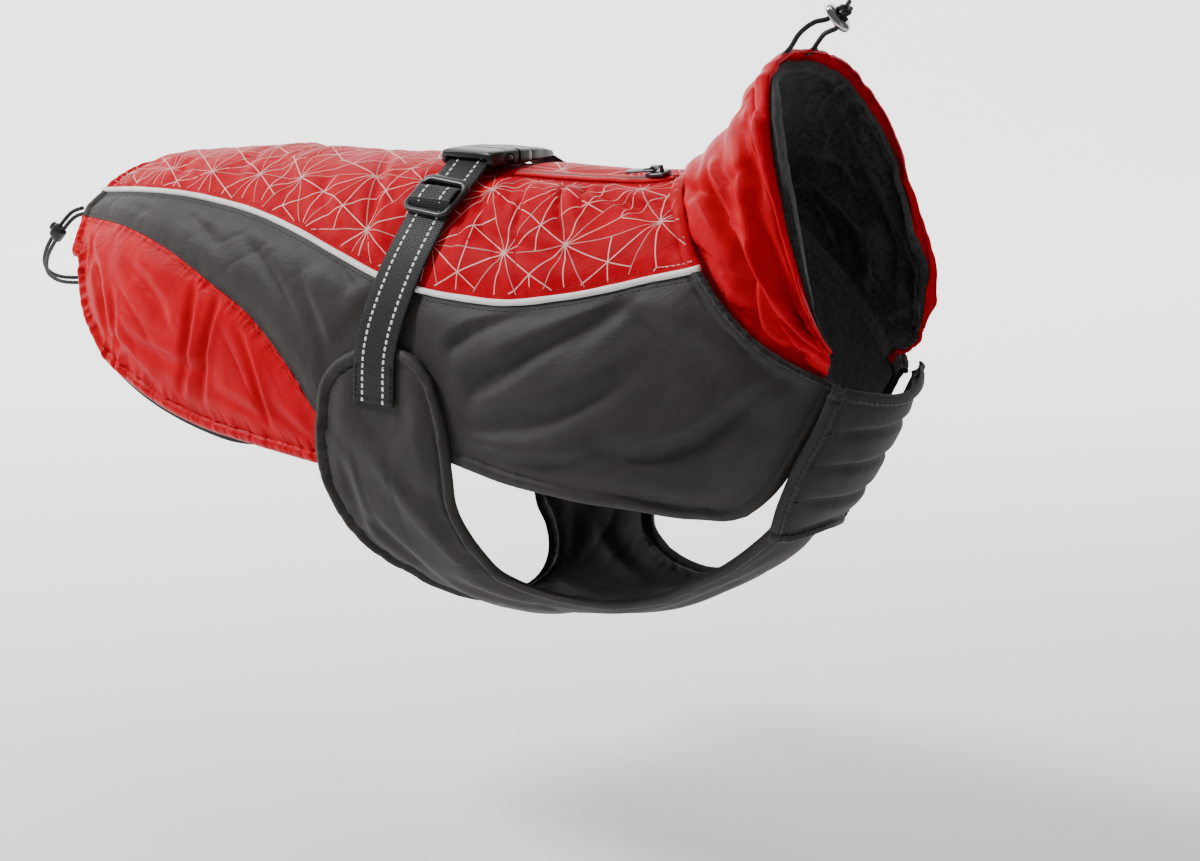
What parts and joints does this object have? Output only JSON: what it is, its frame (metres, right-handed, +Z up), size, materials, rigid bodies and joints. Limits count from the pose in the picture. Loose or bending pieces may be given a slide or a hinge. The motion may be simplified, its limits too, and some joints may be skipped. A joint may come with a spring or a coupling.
{
  "type": "high-visibility dog coat",
  "caption": "Padded dog coat, worn and hollow, with a stand collar, belly wrap, chest band, back buckle strap, lead zip and drawcords.",
  "frame": {"origin": "the middle of the wearer's back, on the inside of the lining, where the coat is carried", "axes": "+X towards the head, +Y to the wearer's left, +Z up"},
  "size_m": [0.546, 0.1752, 0.3008],
  "materials": {
    "red_print": "satin, printed with pale reflective lines",
    "red_satin": "satin",
    "softshell": "matte, fine weave",
    "fleece": "matte, short pile",
    "reflective": "retroreflective piping",
    "webbing": "woven, with reflective threads",
    "plastic": "fine moulded grain",
    "cord": "braided",
    "gunmetal": "dark polished metal",
    "hook_band": "matte, napped"
  },
  "bodies": {
    "root": {"back_panel": "red_print", "side_panel_right": "softshell", "side_panel_left": "softshell", "hip_panel_right": "red_satin", "hip_panel_left": "red_satin", "body_lining": "fleece", "piping_right": "reflective", "piping_left": "reflective", "belly_panel": "softshell", "chest_band": "hook_band", "collar": "red_satin", "collar_lining": "fleece", "webbing_right": "webbing", "webbing_left": "webbing", "strap_slider": "plastic", "buckle_female": "plastic", "buckle_male": "plastic", "zip_tape": "red_satin", "zip_slider": "gunmetal", "collar_cord_right": "cord", "collar_cord_left": "cord", "collar_stopper": "gunmetal", "collar_knot": "cord", "rump_elastic_upper": "cord", "rump_elastic_lower": "cord", "elastic_lock": "plastic"},
    "zip_pull": {"zip_pull": "gunmetal"}
  },
  "joints": [
    {"name": "zip_pull_hinge", "type": "hinge", "parent": "root", "child": "zip_pull", "pos_m": [0.1507, -0.0137, 0.0087], "axis": [-0.0241, 0.9781, 0.2067], "range_deg": [0, 150]}
  ]
}
